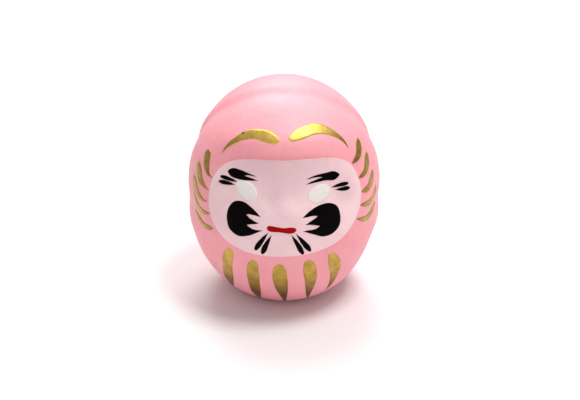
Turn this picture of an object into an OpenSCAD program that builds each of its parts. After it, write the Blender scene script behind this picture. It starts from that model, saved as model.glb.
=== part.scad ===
// A round-bottomed daruma doll of moulded paper, weighted so that it rocks back upright.
// It stands on its flat foot at z = 0 with its face towards -Y. Lengths are in millimetres.
// A place on the skin is [turn, rise] in degrees, seen from the middle of the body:
// turn 0 is straight ahead and grows towards +X, rise 0 is level and 90 is the crown.

/* [Body] */
// Height from the foot to the crown
body_height = 90; // [84:1:96]
// Width at the widest place
body_width = 77; // [72:1:82]
// Height of the widest place above the foot
centre_height = 46; // [43:0.5:49]
// Radius of the flat foot
foot_radius = 15; // [13:0.5:17]
// Squareness of the upper half, where 2 is an ellipse
crown_power = 2.03; // [2:0.01:2.2]
// Squareness of the lower half, where 2 is an ellipse
belly_power = 2.35; // [2.1:0.05:2.6]

/* [Walls] */
// Thickness of the moulded paper
paper_wall = 1.6; // [1.2:0.1:2]
// Thickness of the chalk ground and pink paint together
coat_thickness = 0.4; // [0.3:0.05:0.6]
// Thickness of the pale paint on the face
face_paint = 0.2; // [0.15:0.05:0.3]
// Thickness of a brush mark
mark_paint = 0.2; // [0.15:0.05:0.3]
// Width of the paper strip glued inside over the seam
strip_width = 12; // [8:1:16]
// Thickness of that strip
strip_thickness = 0.3; // [0.2:0.1:0.5]

/* [Clay weight] */
// Height at which the paper ends and the clay weight begins
rim_height = 6; // [4:0.5:8]
// Height of the weight's top inside the doll
weight_height = 13; // [11:0.5:15]
// Diameter of the hole for the painting stick
stick_hole = 4; // [3:0.5:5]

/* [Relief] */
// Depth of the face below the brow
face_depth = 3.2; // [1:0.1:4]
// How far the brow roll stands proud
brow_roll = 0.4; // [0:0.1:1]
// How far the forehead drops in front of the hood's edge
hood_drop = 1.1; // [0:0.1:1.5]
// How far the nose stands proud
nose_height = 0.9; // [0:0.1:1.5]
// How far the face side of the body is fuller than a round body
front_swell = 1.3; // [0:0.1:2]
// Depth of the waist under the sleeves
waist_depth = 0.4; // [0:0.1:0.8]

/* [Hidden] */
half_width = body_width / 2;
crown_depth = body_height - centre_height;
belly_depth = centre_height / pow(1 - pow(foot_radius / half_width, belly_power), 1 / belly_power);

// The body is a round superellipsoid, so its reach from the middle depends on the rise alone
function power_at(rise) = rise > 0 ? crown_power : belly_power;
function depth_at(rise) = rise > 0 ? crown_depth : belly_depth;
function reach(rise) =
    pow(
        pow(cos(rise) / half_width, power_at(rise)) + pow(abs(sin(rise)) / depth_at(rise), power_at(rise)),
        -1 / power_at(rise)
    );
// Radius and height of the plain round body, lift millimetres outside its skin
function profile(rise, lift) = [
    (reach(rise) + lift) * cos(rise),
    centre_height + (reach(rise) + lift) * sin(rise)
];
function half_width_at(height) =
    half_width * pow(1 - pow((centre_height - height) / belly_depth, belly_power), 1 / belly_power);
function rise_of(height) = atan2(height - centre_height, half_width_at(height));

function smooth(low, high, x) =
    let (t = min(1, max(0, (x - low) / (high - low))))
    t * t * (3 - 2 * t);
function bell(x, spread) = exp(-pow(x / spread, 2));
function mix(a, b, t) = a + (b - a) * t;
function wrap(turn) = turn > 180 ? turn - 360 : turn < -180 ? turn + 360 : turn;

// The face is a panel between two superellipses that meet at its widest
panel_turn = 50;
panel_middle = 0.5;
panel_rise = 14;
panel_up = 22.8;
panel_down = 33.6;
panel_up_power = 3;
panel_down_power = 2.6;
function panel_power(rise) = rise > panel_rise ? panel_up_power : panel_down_power;
function panel_height(rise) = rise > panel_rise ? panel_up : panel_down;
// 1 on the outline of the face, less inside and more outside
function panel_reach(turn, rise) =
    pow(
        pow(abs(turn - panel_middle) / panel_turn, panel_power(rise))
        + pow(abs(rise - panel_rise) / panel_height(rise), panel_power(rise)),
        1 / panel_power(rise)
    );

// The face sinks under a brow that curves over it, and comes level with the robe at the chin
overhang = 0.4;
overhang_power = 1.8;
crease = 0.03;
chin_rise = -18;
brow_rise = 34;
corner_loss = 0.6;
function corner_fade(turn) = max(0, 1 - corner_loss * pow(turn / panel_turn, 2));
// How far outside the outline, rounded off by the crease where it begins
function outside(turn, rise) =
    let (past = panel_reach(turn, rise) - 1)
    (past + sqrt(past * past + crease * crease)) / 2;
function face_sink(turn, rise) =
    -face_depth * corner_fade(turn) * smooth(chin_rise, brow_rise, rise)
    * pow(max(0, 1 - outside(turn, rise) / overhang), overhang_power);
brow_reach = 1.45;
brow_spread = 0.25;
function brow(turn, rise) =
    brow_roll * corner_fade(turn) * smooth(panel_rise, brow_rise, rise)
    * bell(panel_reach(turn, rise) - brow_reach, brow_spread);

nose_place = [1.5, 11];
nose_spread = [6, 9];
function nose(turn, rise) =
    nose_height * bell(turn - nose_place[0], nose_spread[0]) * bell(rise - nose_place[1], nose_spread[1]);

// The hood's edge lies in a plane that leans back, and fades out at the shoulders
hood_lean = 31;
hood_front = [-8, 43];
hood_edge = 2.5;
hood_run = 7;
shoulder = [6, 20];
function past_hood(turn, rise) =
    (-reach(rise) * cos(rise) * cos(turn) - hood_front[0]) * cos(hood_lean)
    + (reach(rise) * sin(rise) - hood_front[1]) * sin(hood_lean);
function hood(turn, rise) =
    let (ahead = past_hood(turn, rise))
    -hood_drop * (1 - smooth(-hood_edge, hood_edge, ahead)) * bell(ahead, hood_run)
    * smooth(shoulder[0], shoulder[1], reach(rise) * sin(rise));

// The sleeves hang over a shallow waist with a fuller hip below it
sleeve_turn = [50, 75];
waist_rise = -6;
hip_rise = -18;
fold_spread = 7;
function waist(turn, rise) =
    waist_depth * smooth(sleeve_turn[0], sleeve_turn[1], abs(wrap(turn)))
    * (bell(rise - hip_rise, fold_spread) - bell(rise - waist_rise, fold_spread));

front_rise = [12, 34];
function swell(turn, rise) =
    front_swell * pow(max(0, cos(turn)), 2) * bell(rise - front_rise[0], front_rise[1]);

// Hand-formed unevenness: [turn, rise, spread of turn, spread of rise, height]
DENTS = [
    [80, -38, 30, 14, -0.5],
    [-85, -30, 28, 12, 0.3],
    [-62, 56, 20, 12, -0.3],
    [175, 20, 40, 22, 0.3],
    [140, -24, 26, 14, -0.3]
];
function dents(turn, rise, i = 0) =
    i == len(DENTS) ? 0
    : DENTS[i][4] * bell(wrap(turn - DENTS[i][0]), DENTS[i][2]) * bell(rise - DENTS[i][1], DENTS[i][3])
        + dents(turn, rise, i + 1);

rim_rise = rise_of(rim_height);
relief_start = 14;
function relief(turn, rise) =
    smooth(rim_rise, rim_rise + relief_start, rise)
    * (face_sink(turn, rise) + brow(turn, rise) + nose(turn, rise) + hood(turn, rise) + waist(turn, rise)
        + swell(turn, rise) + dents(turn, rise) * cos(rise));

// The point of the skin at a place, lift millimetres outside it
function skin(place, lift) =
    let (turn = place[0], rise = place[1], out = reach(rise) + relief(turn, rise) + lift)
    [out * cos(rise) * sin(turn), -out * cos(rise) * cos(turn), centre_height + out * sin(rise)];

// Turns and rises at which the walls have their grid lines
front_columns = 36;
back_columns = 24;
front_turns = [for (i = [0 : front_columns]) -90 + 180 * i / front_columns];
back_turns = [for (i = [0 : back_columns]) 90 + 180 * i / back_columns];
around_turns = concat(front_turns, [for (i = [1 : back_columns - 1]) back_turns[i]]);
chin_lines = 6;
cheek_lines = 9;
brow_lines = 7;
crown_lines = 10;
grid_rises = [rim_rise, -24, 28, 44, 90];
function steps(low, high, count) = [for (i = [0 : count - 1]) mix(low, high, i / count)];
wall_rises = concat(
    steps(grid_rises[0], grid_rises[1], chin_lines),
    steps(grid_rises[1], grid_rises[2], cheek_lines),
    steps(grid_rises[2], grid_rises[3], brow_lines),
    steps(grid_rises[3], grid_rises[4], crown_lines)
);
// The paint stops just short of the foot
paint_edge = 0.2;
edge_lines = 3;
coat_rises = concat(steps(rise_of(paint_edge), rim_rise, edge_lines), wall_rises);

paper_in = -coat_thickness - paper_wall;
paper_out = -coat_thickness;

// A wall between two lifts that closes over the crown, either all round or over some turns
module crowned_wall(turns, rises, low, high, closed) {
    columns = len(turns);
    rows = len(rises);
    crown = rows * columns;
    layer = crown + 1;
    points = [
        for (lift = [low, high])
            each concat(
                [for (rise = rises, turn = turns) skin([turn, rise], lift)],
                [skin([0, 90], lift)]
            )
    ];
    function at(i, j) = i == rows ? crown : i * columns + j % columns;
    spans = closed ? columns - 1 : columns - 2;
    sheet = [
        for (i = [0 : rows - 1], j = [0 : spans])
            each concat(
                [[at(i, j), at(i + 1, j), at(i, j + 1)]],
                i < rows - 1 ? [[at(i, j + 1), at(i + 1, j), at(i + 1, j + 1)]] : []
            )
    ];
    foot_edge = [
        for (j = [0 : spans])
            each [
                [at(0, j) + layer, at(0, j + 1) + layer, at(0, j + 1)],
                [at(0, j) + layer, at(0, j + 1), at(0, j)]
            ]
    ];
    last = columns - 1;
    side_edges = closed ? [] : [
        for (i = [0 : rows - 1])
            each [
                [at(i + 1, 0) + layer, at(i, 0) + layer, at(i, 0)],
                [at(i + 1, 0) + layer, at(i, 0), at(i + 1, 0)],
                [at(i, last) + layer, at(i + 1, last) + layer, at(i + 1, last)],
                [at(i, last) + layer, at(i + 1, last), at(i, last)]
            ]
    ];
    outside = [for (f = sheet) [f[0] + layer, f[1] + layer, f[2] + layer]];
    inside = [for (f = sheet) [f[0], f[2], f[1]]];
    polyhedron(points, concat(outside, inside, foot_edge, side_edges), convexity = 6);
}

// A sheet between two lifts over rows of places, open on all four sides
module sheet_wall(rows, low, high) {
    last = len(rows) - 1;
    side = len(rows[0]) - 1;
    layer = (last + 1) * (side + 1);
    points = [for (lift = [low, high], row = rows, place = row) skin(place, lift)];
    function at(k, j) = k * (side + 1) + j;
    sheet = [
        for (k = [0 : last - 1], j = [0 : side - 1])
            each [[at(k, j), at(k + 1, j), at(k + 1, j + 1)], [at(k, j), at(k + 1, j + 1), at(k, j + 1)]]
    ];
    border = concat(
        [for (j = [0 : side - 1]) [at(0, j), at(0, j + 1)]],
        [for (k = [0 : last - 1]) [at(k, side), at(k + 1, side)]],
        [for (j = [side : -1 : 1]) [at(last, j), at(last, j - 1)]],
        [for (k = [last : -1 : 1]) [at(k, 0), at(k - 1, 0)]]
    );
    outside = [for (f = sheet) [f[0] + layer, f[1] + layer, f[2] + layer]];
    inside = [for (f = sheet) [f[0], f[2], f[1]]];
    edges = [for (e = border) each [[e[0] + layer, e[1] + layer, e[1]], [e[0] + layer, e[1], e[0]]]];
    polyhedron(points, concat(outside, inside, edges), convexity = 6);
}

// A film of paint between two edges that meet at both ends, with the first edge on the left
module film_between(left, right, across, low, high) {
    last = len(left) - 1;
    row = across + 1;
    layer = (last - 1) * row + 2;
    points = [
        for (lift = [low, high])
            each concat(
                [skin(left[0], lift)],
                [for (k = [1 : last - 1], j = [0 : across]) skin(mix(left[k], right[k], j / across), lift)],
                [skin(left[last], lift)]
            )
    ];
    function at(k, j) = k == 0 ? 0 : k == last ? layer - 1 : 1 + (k - 1) * row + j;
    sheet = concat(
        [for (j = [0 : across - 1]) [at(0, 0), at(1, j), at(1, j + 1)]],
        [
            for (k = [1 : last - 2], j = [0 : across - 1])
                each [
                    [at(k, j), at(k + 1, j), at(k + 1, j + 1)],
                    [at(k, j), at(k + 1, j + 1), at(k, j + 1)]
                ]
        ],
        [for (j = [0 : across - 1]) [at(last - 1, j), at(last, 0), at(last - 1, j + 1)]]
    );
    edges = [
        for (k = [0 : last - 1])
            each [
                [at(k + 1, 0) + layer, at(k, 0) + layer, at(k, 0)],
                [at(k + 1, 0) + layer, at(k, 0), at(k + 1, 0)],
                [at(k, across) + layer, at(k + 1, across) + layer, at(k + 1, across)],
                [at(k, across) + layer, at(k + 1, across), at(k, across)]
            ]
    ];
    outside = [for (f = sheet) [f[0] + layer, f[1] + layer, f[2] + layer]];
    inside = [for (f = sheet) [f[0], f[2], f[1]]];
    polyhedron(points, concat(outside, inside, edges), convexity = 4);
}

// The edges change places when the second one turns out to be on the left
function lean_of(left, right) =
    let (
        crossings = [
            for (k = [0 : len(left) - 2])
                cross(left[k + 1] - left[k], right[k] - left[k])
        ]
    )
    crossings * [for (c = crossings) 1];
module film(left, right, across, low, high) {
    if (lean_of(left, right) > 0) film_between(right, left, across, low, high);
    else film_between(left, right, across, low, high);
}

// A Bezier curve for t from 0 to 1
function bezier(points, t) =
    len(points) == 1 ? points[0]
    : bezier([for (i = [0 : len(points) - 2]) mix(points[i], points[i + 1], t)], t);
// How far along a line each of its points is, from 0 to 1
function sum_of(values) = len(values) == 0 ? 0 : values * [for (v = values) 1];
function knots_of(points) =
    let (
        gaps = [for (i = [1 : len(points) - 1]) norm(points[i] - points[i - 1])],
        total = sum_of(gaps)
    )
    [for (i = [0 : len(gaps)]) sum_of([for (k = [0 : 1 : i - 1]) gaps[k]]) / total];
function span_at(knots, t, i = 0) = i == len(knots) - 2 || t < knots[i + 1] ? i : span_at(knots, t, i + 1);
function slope(points, knots, i) = (points[i + 1] - points[i]) / (knots[i + 1] - knots[i]);
function tangent(points, knots, i) =
    i == 0 ? slope(points, knots, 0)
    : i == len(points) - 1 ? slope(points, knots, i - 1)
    : let (before = knots[i] - knots[i - 1], after = knots[i + 1] - knots[i])
        (slope(points, knots, i - 1) * after + slope(points, knots, i) * before) / (before + after);
function broken_line(points, t) =
    let (knots = knots_of(points), i = span_at(knots, t))
    mix(points[i], points[i + 1], (t - knots[i]) / (knots[i + 1] - knots[i]));
// A cubic between each two points, with each point's slope from both of its neighbours
function smooth_line(points, t) =
    let (
        knots = knots_of(points),
        i = span_at(knots, t),
        gap = knots[i + 1] - knots[i],
        u = (t - knots[i]) / gap
    )
    (1 + 2 * u) * pow(1 - u, 2) * points[i]
    + u * pow(1 - u, 2) * gap * tangent(points, knots, i)
    + u * u * (3 - 2 * u) * points[i + 1]
    + u * u * (u - 1) * gap * tangent(points, knots, i + 1);

// Fullness of a brush mark from head to tail: a half power rounds an end and 1 or more points it
function fullness(t, head, tail) =
    let (peak = head / (head + tail))
    pow(t / peak, head) * pow((1 - t) / (1 - peak), tail);
stations = 14;
mark_rows = 2;
blot_rows = 3;
function station(k, count) = (1 - cos(180 * k / count)) / 2;
nudge = 0.01;
// One edge of a mark, side being -1 or 1
function mark_edge(spine, width, head, tail, side) = [
    for (k = [0 : stations])
        let (
            t = station(k, stations),
            place = bezier(spine, t),
            ahead = bezier(spine, t + nudge) - bezier(spine, t - nudge),
            squeeze = cos(place[1]),
            along = [ahead[0] * squeeze, ahead[1]],
            half = side * width / 2 * fullness(t, head, tail) * 180 / PI / reach(place[1])
        )
        place + half / norm(along) * [along[1] / squeeze, -along[0]]
];
module brush_mark(spine, width, head, tail, low, high) {
    film(
        mark_edge(spine, width, head, tail, -1),
        mark_edge(spine, width, head, tail, 1),
        mark_rows, low, high
    );
}
// A mark whose two smooth edges meet at its head and at its tail
module shaped_mark(left, right, low, high) {
    film(
        [for (k = [0 : stations]) smooth_line(left, station(k, stations))],
        [for (k = [0 : stations]) smooth_line(right, station(k, stations))],
        mark_rows, low, high
    );
}
// A blot that ends in prongs: a smooth back and a broken front that share their ends
module pronged_mark(back, front, low, high) {
    knots = knots_of(front);
    last = len(knots) - 1;
    places = concat([for (i = [0 : last - 1]) each [knots[i], (knots[i] + knots[i + 1]) / 2]], [1]);
    film(
        [for (t = places) smooth_line(back, t)],
        [for (t = places) broken_line(front, t)],
        blot_rows, low, high
    );
}

// Pieces of the body
module shell_front() {
    color("#cfc6b4") crowned_wall(front_turns, wall_rises, paper_in, paper_out, false);
}
module shell_back() {
    color("#c6bca8") crowned_wall(back_turns, wall_rises, paper_in, paper_out, false);
}
module body_coat() {
    color("#eea6b0") crowned_wall(around_turns, coat_rises, paper_out, 0, true);
}

strip_rows = 36;
strip_columns = 2;
strip_glue = 0.1;
// Places along the seam: a run of angles over the crown and a little way to either side
function strip_place(run, off) =
    let (
        x = -cos(run) * cos(off),
        y = -sin(off),
        z = sin(run) * cos(off)
    )
    [atan2(x, -y), asin(z)];
strip_start = 12;
module seam_strip() {
    low_run = rim_rise + strip_start;
    half_angle = strip_width / 2 / half_width * 180 / PI;
    rows = [
        for (k = [0 : strip_rows])
            [
                for (j = [0 : strip_columns])
                    strip_place(
                        mix(low_run, 180 - low_run, k / strip_rows),
                        mix(half_angle, -half_angle, j / strip_columns)
                    )
            ]
    ];
    color("#e6dfcc")
        sheet_wall(rows, paper_in - strip_glue - strip_thickness, paper_in - strip_glue);
}

// The clay weight: a domed saucer below the paper's rim and a round plug above it
seat = profile(rim_rise, paper_in);
foot_bevel = 0.6;
plug_bevel = 1.5;
dome_steps = 6;
round_sides = 96;
module base_weight() {
    foot_rise = rise_of(paint_edge);
    dome = [for (k = [0 : dome_steps]) profile(mix(foot_rise, rim_rise, k / dome_steps), paper_out)];
    color("#a08468") rotate_extrude($fn = round_sides) polygon(concat(
        [[stick_hole / 2, 0], [foot_radius - foot_bevel, 0]],
        dome,
        [
            seat,
            [seat[0], weight_height - plug_bevel],
            [seat[0] - plug_bevel, weight_height],
            [stick_hole / 2, weight_height]
        ]
    ));
}
glue_rise = 7;
glue_slope = 1;
module weight_glue() {
    glue_top = profile(rim_rise + glue_rise, paper_in);
    color("#d9b978") rotate_extrude($fn = round_sides)
        polygon([seat, glue_top, [seat[0], glue_top[1] + glue_slope]]);
}

// Pieces of the face
face_stations = 32;
face_rows = 12;
function panel_edge_at(k, power, height) =
    let (across = -cos(180 * k / face_stations))
    [
        panel_middle + panel_turn * across,
        panel_rise + height * pow(max(0, 1 - pow(abs(across), power)), 1 / power)
    ];
module face_coat() {
    upper = [for (k = [0 : face_stations]) panel_edge_at(k, panel_up_power, panel_up)];
    lower = [for (k = [0 : face_stations]) panel_edge_at(k, panel_down_power, -panel_down)];
    color("#f0d2d4") film(upper, lower, face_rows, 0, face_paint);
}
on_face = [face_paint, face_paint + mark_paint];
on_robe = [0, mark_paint];
// A round head and a tail that comes to a point
round_head = 0.5;
temple_tail = 1;
chin_tail = 1.1;
temple_width = 1.6;
chin_width = 2;
module face_mark(spine, width, head, tail) {
    brush_mark(spine, width, head, tail, on_face[0], on_face[1]);
}
module eye_white(edges) {
    color("#eee9e4") shaped_mark(edges[0], edges[1], on_face[0], on_face[1]);
}
module temple_marks(spines) {
    color("#141212") for (spine = spines) face_mark(spine, temple_width, round_head, temple_tail);
}
module chin_marks(spines) {
    color("#141212") for (spine = spines) face_mark(spine, chin_width, round_head, chin_tail);
}
module black_blot(edges) {
    color("#141212") pronged_mark(edges[0], edges[1], on_face[0], on_face[1]);
}
module mouth() {
    color("#b40c0a") shaped_mark(MOUTH[0], MOUTH[1], on_face[0], on_face[1]);
}

// Gold marks on the robe
module gold_mark(edges) {
    color("#c4a040") shaped_mark(edges[0], edges[1], on_robe[0], on_robe[1]);
}

// The marks, as places on the skin: spines that start at the head, or two edges from head to tail
// Smooth back, then pronged front
EYEBROW_LEFT = [
    [
        [-17.5, 26.8], [-23, 27.9], [-29.5, 28.9], [-35.5, 28.6], [-38, 26.4], [-35.5, 24.4],
        [-30, 23.6], [-22, 24], [-16.4, 24.6]
    ],
    [[-17.5, 26.8], [-19.5, 26.8], [-23, 26.9], [-26, 26.2], [-22.5, 25.8], [-20, 25.4], [-16.4, 24.6]]
];
EYEBROW_RIGHT = [
    [
        [14, 25.6], [20, 27.1], [27, 27.5], [34.4, 26.9], [36.9, 24.8], [33.3, 22.7], [26.2, 23.4],
        [19.4, 23.1], [13.6, 22.6]
    ],
    [
        [14, 25.6], [16, 25.6], [18.6, 26], [22, 26], [25, 25.4], [22.6, 25.2], [19.8, 24.6],
        [16.4, 23.8], [13.6, 22.6]
    ]
];
BEARD_LEFT = [
    [
        [-13, 4.2], [-18, 8.6], [-24.5, 11.7], [-29.4, 10.8], [-33.2, 6], [-34, -0.5], [-32, -6.3],
        [-26.8, -9.2], [-20.4, -8], [-14.6, -5], [-11.8, -3.6]
    ],
    [
        [-13, 4.2], [-16.5, 4.8], [-19.5, 5], [-21.8, 4.6], [-19.4, 2.6], [-16.4, 1.2], [-14, 0.4],
        [-16.4, -0.4], [-19.2, -0.6], [-21.8, -0.6], [-20.4, -2.2], [-18, -3.4], [-15.2, -3.8],
        [-11.8, -3.6]
    ]
];
BEARD_RIGHT = [
    [
        [10.2, 4], [14.8, 7.6], [21, 10.2], [27.4, 10.2], [31.2, 8], [33.4, 2.2], [32.4, -5],
        [28, -8.3], [22.4, -8.8], [16.4, -6.4], [10.6, -4]
    ],
    [
        [10.2, 4], [13, 4.2], [16.4, 4.6], [19.4, 4], [17, 2.6], [14.6, 1.4], [11.8, -0.2],
        [14, -0.4], [17.6, -1], [21, -1.6], [18.6, -3], [16.4, -3.6], [13.4, -3.6], [10.6, -4]
    ]
];
TEMPLE_LEFT = [
    [[-42.6, 22.2], [-36, 22.6], [-29.6, 21.9]],
    [[-43, 19.2], [-36, 20], [-31, 20]]
];
TEMPLE_RIGHT = [
    [[41.8, 18.4], [36, 19.2], [29.2, 18.8]],
    [[42.2, 15.6], [37, 16.2], [31.6, 17]]
];
CHIN_LEFT = [
    [[-16.4, -16.4], [-13, -10], [-8.6, -4.6]],
    [[-12.6, -18.4], [-10, -12], [-6.8, -5.8]]
];
CHIN_RIGHT = [
    [[10.9, -18.4], [7.8, -12], [4, -5.6]],
    [[15.1, -17], [11, -10.6], [6.4, -5]]
];
// Left or upper edge, then right or lower edge
EYE_LEFT = [
    [[-30.8, 20.8], [-29.4, 22.5], [-24.2, 23.6], [-18.6, 21.4], [-16.1, 17], [-16.4, 14.2]],
    [[-30.8, 20.8], [-29.6, 17.8], [-24.6, 13.2], [-20, 12.4], [-16.4, 14.2]]
];
EYE_RIGHT = [
    [[28.2, 19.2], [26.4, 21], [23.2, 21.7], [16.8, 19.6], [14.5, 16.8], [14.5, 13.8]],
    [[28.2, 19.2], [27.8, 16.4], [22.4, 11.8], [18.6, 11.1], [14.5, 13.8]]
];
MOUTH = [
    [
        [-9.6, -2.2], [-9, -0.8], [-6.6, -0.6], [-3.4, -1.1], [0, -1.5], [3.8, -1.2], [6, -1.6],
        [7, -2.8]
    ],
    [[-9.6, -2.2], [-8.8, -3.4], [-7.2, -4], [-3.8, -4], [0, -4.5], [3.4, -4.9], [5.6, -4.4], [7, -2.8]]
];
GOLD_BROW_LEFT = [
    [
        [-3, 46.5], [-5.5, 48.5], [-10.5, 50.8], [-18, 51.5], [-31.5, 49.4], [-39, 44],
        [-44, 38.4], [-46, 34]
    ],
    [
        [-3, 46.5], [-4.2, 45], [-6.5, 44], [-11, 44.4], [-22.5, 45.8], [-34.5, 42.6],
        [-42.5, 37.6], [-46, 34]
    ]
];
GOLD_BROW_RIGHT = [
    [[3, 47.2], [5.5, 49.5], [17, 53.5], [31.5, 53.5], [41.5, 48.2], [47.5, 41], [49, 36]],
    [[3, 47.2], [4.5, 46], [11.5, 46], [22.5, 48], [35.5, 46.3], [45.5, 40.4], [49, 36]]
];
FOLDS_LEFT = [
    [
        [[-58.5, 33.2], [-60.8, 31], [-58.8, 24.8], [-53, 19.6], [-48.6, 19.4]],
        [[-58.5, 33.2], [-55.6, 32.4], [-53.6, 26.6], [-51, 20.6], [-48.6, 19.4]]
    ],
    [
        [[-64.6, 24.2], [-65.4, 21.2], [-62.4, 14.4], [-53, 11.6], [-49, 11.6]],
        [[-64.6, 24.2], [-61.6, 23], [-56.6, 16.8], [-51.4, 12.6], [-49, 11.6]]
    ],
    [
        [[-67.6, 14.8], [-68.8, 11.8], [-64.2, 6.2], [-54, 3.4], [-49.4, 4.8]],
        [[-67.6, 14.8], [-64.6, 13.8], [-59, 8.4], [-52.6, 4.8], [-49.4, 4.8]]
    ],
    [
        [[-66.2, 4.4], [-65.2, 1.4], [-60.6, -4.4], [-50, -3.4], [-46.4, -1.6]],
        [[-66.2, 4.4], [-63.6, 3.4], [-57.8, -0.8], [-50, -1.8], [-46.4, -1.6]]
    ],
    [
        [[-65.2, -6], [-62.8, -8.6], [-55.2, -13], [-48, -12.8], [-44.6, -10.4]],
        [[-65.2, -6], [-60.6, -7.2], [-53.8, -9.8], [-46.8, -9.8], [-44.6, -10.4]]
    ]
];
FOLDS_RIGHT = [
    [
        [[62, 39], [58.4, 38], [53.8, 32.4], [49.2, 28.6], [48.4, 27.6]],
        [[62, 39], [63, 36.4], [59.2, 30.4], [51.8, 27.4], [48.4, 27.6]]
    ],
    [
        [[66, 29.6], [62.2, 28.4], [57.2, 22.4], [52, 19.4], [50.6, 18.4]],
        [[66, 29.6], [66.2, 26.8], [62, 20.4], [54.2, 17.6], [50.6, 18.4]]
    ],
    [
        [[67.6, 18], [63.8, 17], [58, 12.4], [52.4, 10.8], [51, 10]],
        [[67.6, 18], [67.8, 15.2], [62.8, 9.6], [56, 8], [51, 10]]
    ],
    [
        [[68.8, 8], [66, 6.2], [60, 3], [52, 3], [48.8, 2.6]],
        [[68.8, 8], [69.6, 4.8], [64, -0.4], [55.6, -0.6], [48.8, 2.6]]
    ],
    [
        [[68.4, -2.6], [65.2, -3.4], [56.8, -6.2], [48.8, -5], [45.6, -4.4]],
        [[68.4, -2.6], [69.6, -5.6], [61.8, -9.8], [51.4, -8.6], [45.6, -4.4]]
    ]
];
STRIPES = [
    [
        [[-33.8, -19.2], [-37.2, -21.8], [-40.6, -27.2], [-42.6, -34], [-47.8, -44], [-50.4, -56.8]],
        [[-33.8, -19.2], [-31.6, -20.8], [-32.4, -26.5], [-34.6, -33.6], [-38, -43.5], [-50.4, -56.8]]
    ],
    [
        [[-18.6, -23.4], [-21.6, -25.8], [-23.6, -31.5], [-25, -41.8], [-26.4, -53], [-25.2, -63.8]],
        [[-18.6, -23.4], [-16.2, -25], [-15.7, -31], [-16.6, -41], [-18.6, -51.5], [-25.2, -63.8]]
    ],
    [
        [[-2.4, -24.6], [-5.4, -26.4], [-7.1, -32], [-6.4, -42], [-3, -52.5], [1.2, -65.6]],
        [[-2.4, -24.6], [0.2, -26.8], [2, -35], [2.7, -44], [2.4, -53], [1.2, -65.6]]
    ],
    [
        [[14.4, -23], [12.4, -24.2], [11.7, -29], [13.8, -38.6], [17.6, -51.6], [25.6, -63.8]],
        [[14.4, -23], [17.6, -25], [20.9, -33], [21.9, -43], [22, -53], [25.6, -63.8]]
    ],
    [
        [[29.4, -21], [27, -21.8], [27.2, -25.6], [31.4, -37], [35, -47.2], [37, -53.8]],
        [[29.4, -21], [33.2, -24], [38.4, -31.5], [39.2, -39], [38.8, -48], [37, -53.8]]
    ]
];

shell_front();
shell_back();
seam_strip();
base_weight();
weight_glue();
body_coat();
face_coat();
eye_white(EYE_LEFT);  // eye_white_left
eye_white(EYE_RIGHT);  // eye_white_right
black_blot(EYEBROW_LEFT);  // eyebrow_left
black_blot(EYEBROW_RIGHT);  // eyebrow_right
temple_marks(TEMPLE_LEFT);  // temple_marks_left
temple_marks(TEMPLE_RIGHT);  // temple_marks_right
black_blot(BEARD_LEFT);  // beard_left
black_blot(BEARD_RIGHT);  // beard_right
chin_marks(CHIN_LEFT);  // chin_marks_left
chin_marks(CHIN_RIGHT);  // chin_marks_right
mouth();
gold_mark(GOLD_BROW_LEFT);  // gold_brow_left
gold_mark(GOLD_BROW_RIGHT);  // gold_brow_right
gold_mark(FOLDS_LEFT[0]);  // sleeve_fold_left_1
gold_mark(FOLDS_LEFT[1]);  // sleeve_fold_left_2
gold_mark(FOLDS_LEFT[2]);  // sleeve_fold_left_3
gold_mark(FOLDS_LEFT[3]);  // sleeve_fold_left_4
gold_mark(FOLDS_LEFT[4]);  // sleeve_fold_left_5
gold_mark(FOLDS_RIGHT[0]);  // sleeve_fold_right_1
gold_mark(FOLDS_RIGHT[1]);  // sleeve_fold_right_2
gold_mark(FOLDS_RIGHT[2]);  // sleeve_fold_right_3
gold_mark(FOLDS_RIGHT[3]);  // sleeve_fold_right_4
gold_mark(FOLDS_RIGHT[4]);  // sleeve_fold_right_5
gold_mark(STRIPES[0]);  // belly_stripe_1
gold_mark(STRIPES[1]);  // belly_stripe_2
gold_mark(STRIPES[2]);  // belly_stripe_3
gold_mark(STRIPES[3]);  // belly_stripe_4
gold_mark(STRIPES[4]);  // belly_stripe_5
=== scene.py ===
"""A round-bottomed daruma doll of moulded paper: its painted skin, face and brush marks, round the frame.

The doll stands at z = 0 with its face towards -Y. A place on the skin is (turn, rise) in degrees, seen from
the middle of the body: turn 0 is straight ahead and grows towards +X, rise 0 is level and 90 is the crown.
"""

import bpy
import numpy as np
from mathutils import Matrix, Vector


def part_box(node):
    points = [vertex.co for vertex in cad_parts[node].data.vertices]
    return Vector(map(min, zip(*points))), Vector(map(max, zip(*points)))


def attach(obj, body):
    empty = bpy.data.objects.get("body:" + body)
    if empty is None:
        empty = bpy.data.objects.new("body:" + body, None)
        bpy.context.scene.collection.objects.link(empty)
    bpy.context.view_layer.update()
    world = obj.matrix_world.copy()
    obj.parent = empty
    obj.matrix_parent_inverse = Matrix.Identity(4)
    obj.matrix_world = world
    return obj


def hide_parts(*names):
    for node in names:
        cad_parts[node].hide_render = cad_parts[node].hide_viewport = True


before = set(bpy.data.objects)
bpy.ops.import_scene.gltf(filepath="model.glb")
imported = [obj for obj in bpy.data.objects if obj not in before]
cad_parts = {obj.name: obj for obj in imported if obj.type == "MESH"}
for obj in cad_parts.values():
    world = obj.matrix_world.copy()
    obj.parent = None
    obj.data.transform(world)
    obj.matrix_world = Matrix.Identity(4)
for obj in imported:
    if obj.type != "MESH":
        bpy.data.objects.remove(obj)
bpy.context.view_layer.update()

MM = 0.001

# ---------------------------------------------------------------- the body

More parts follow.
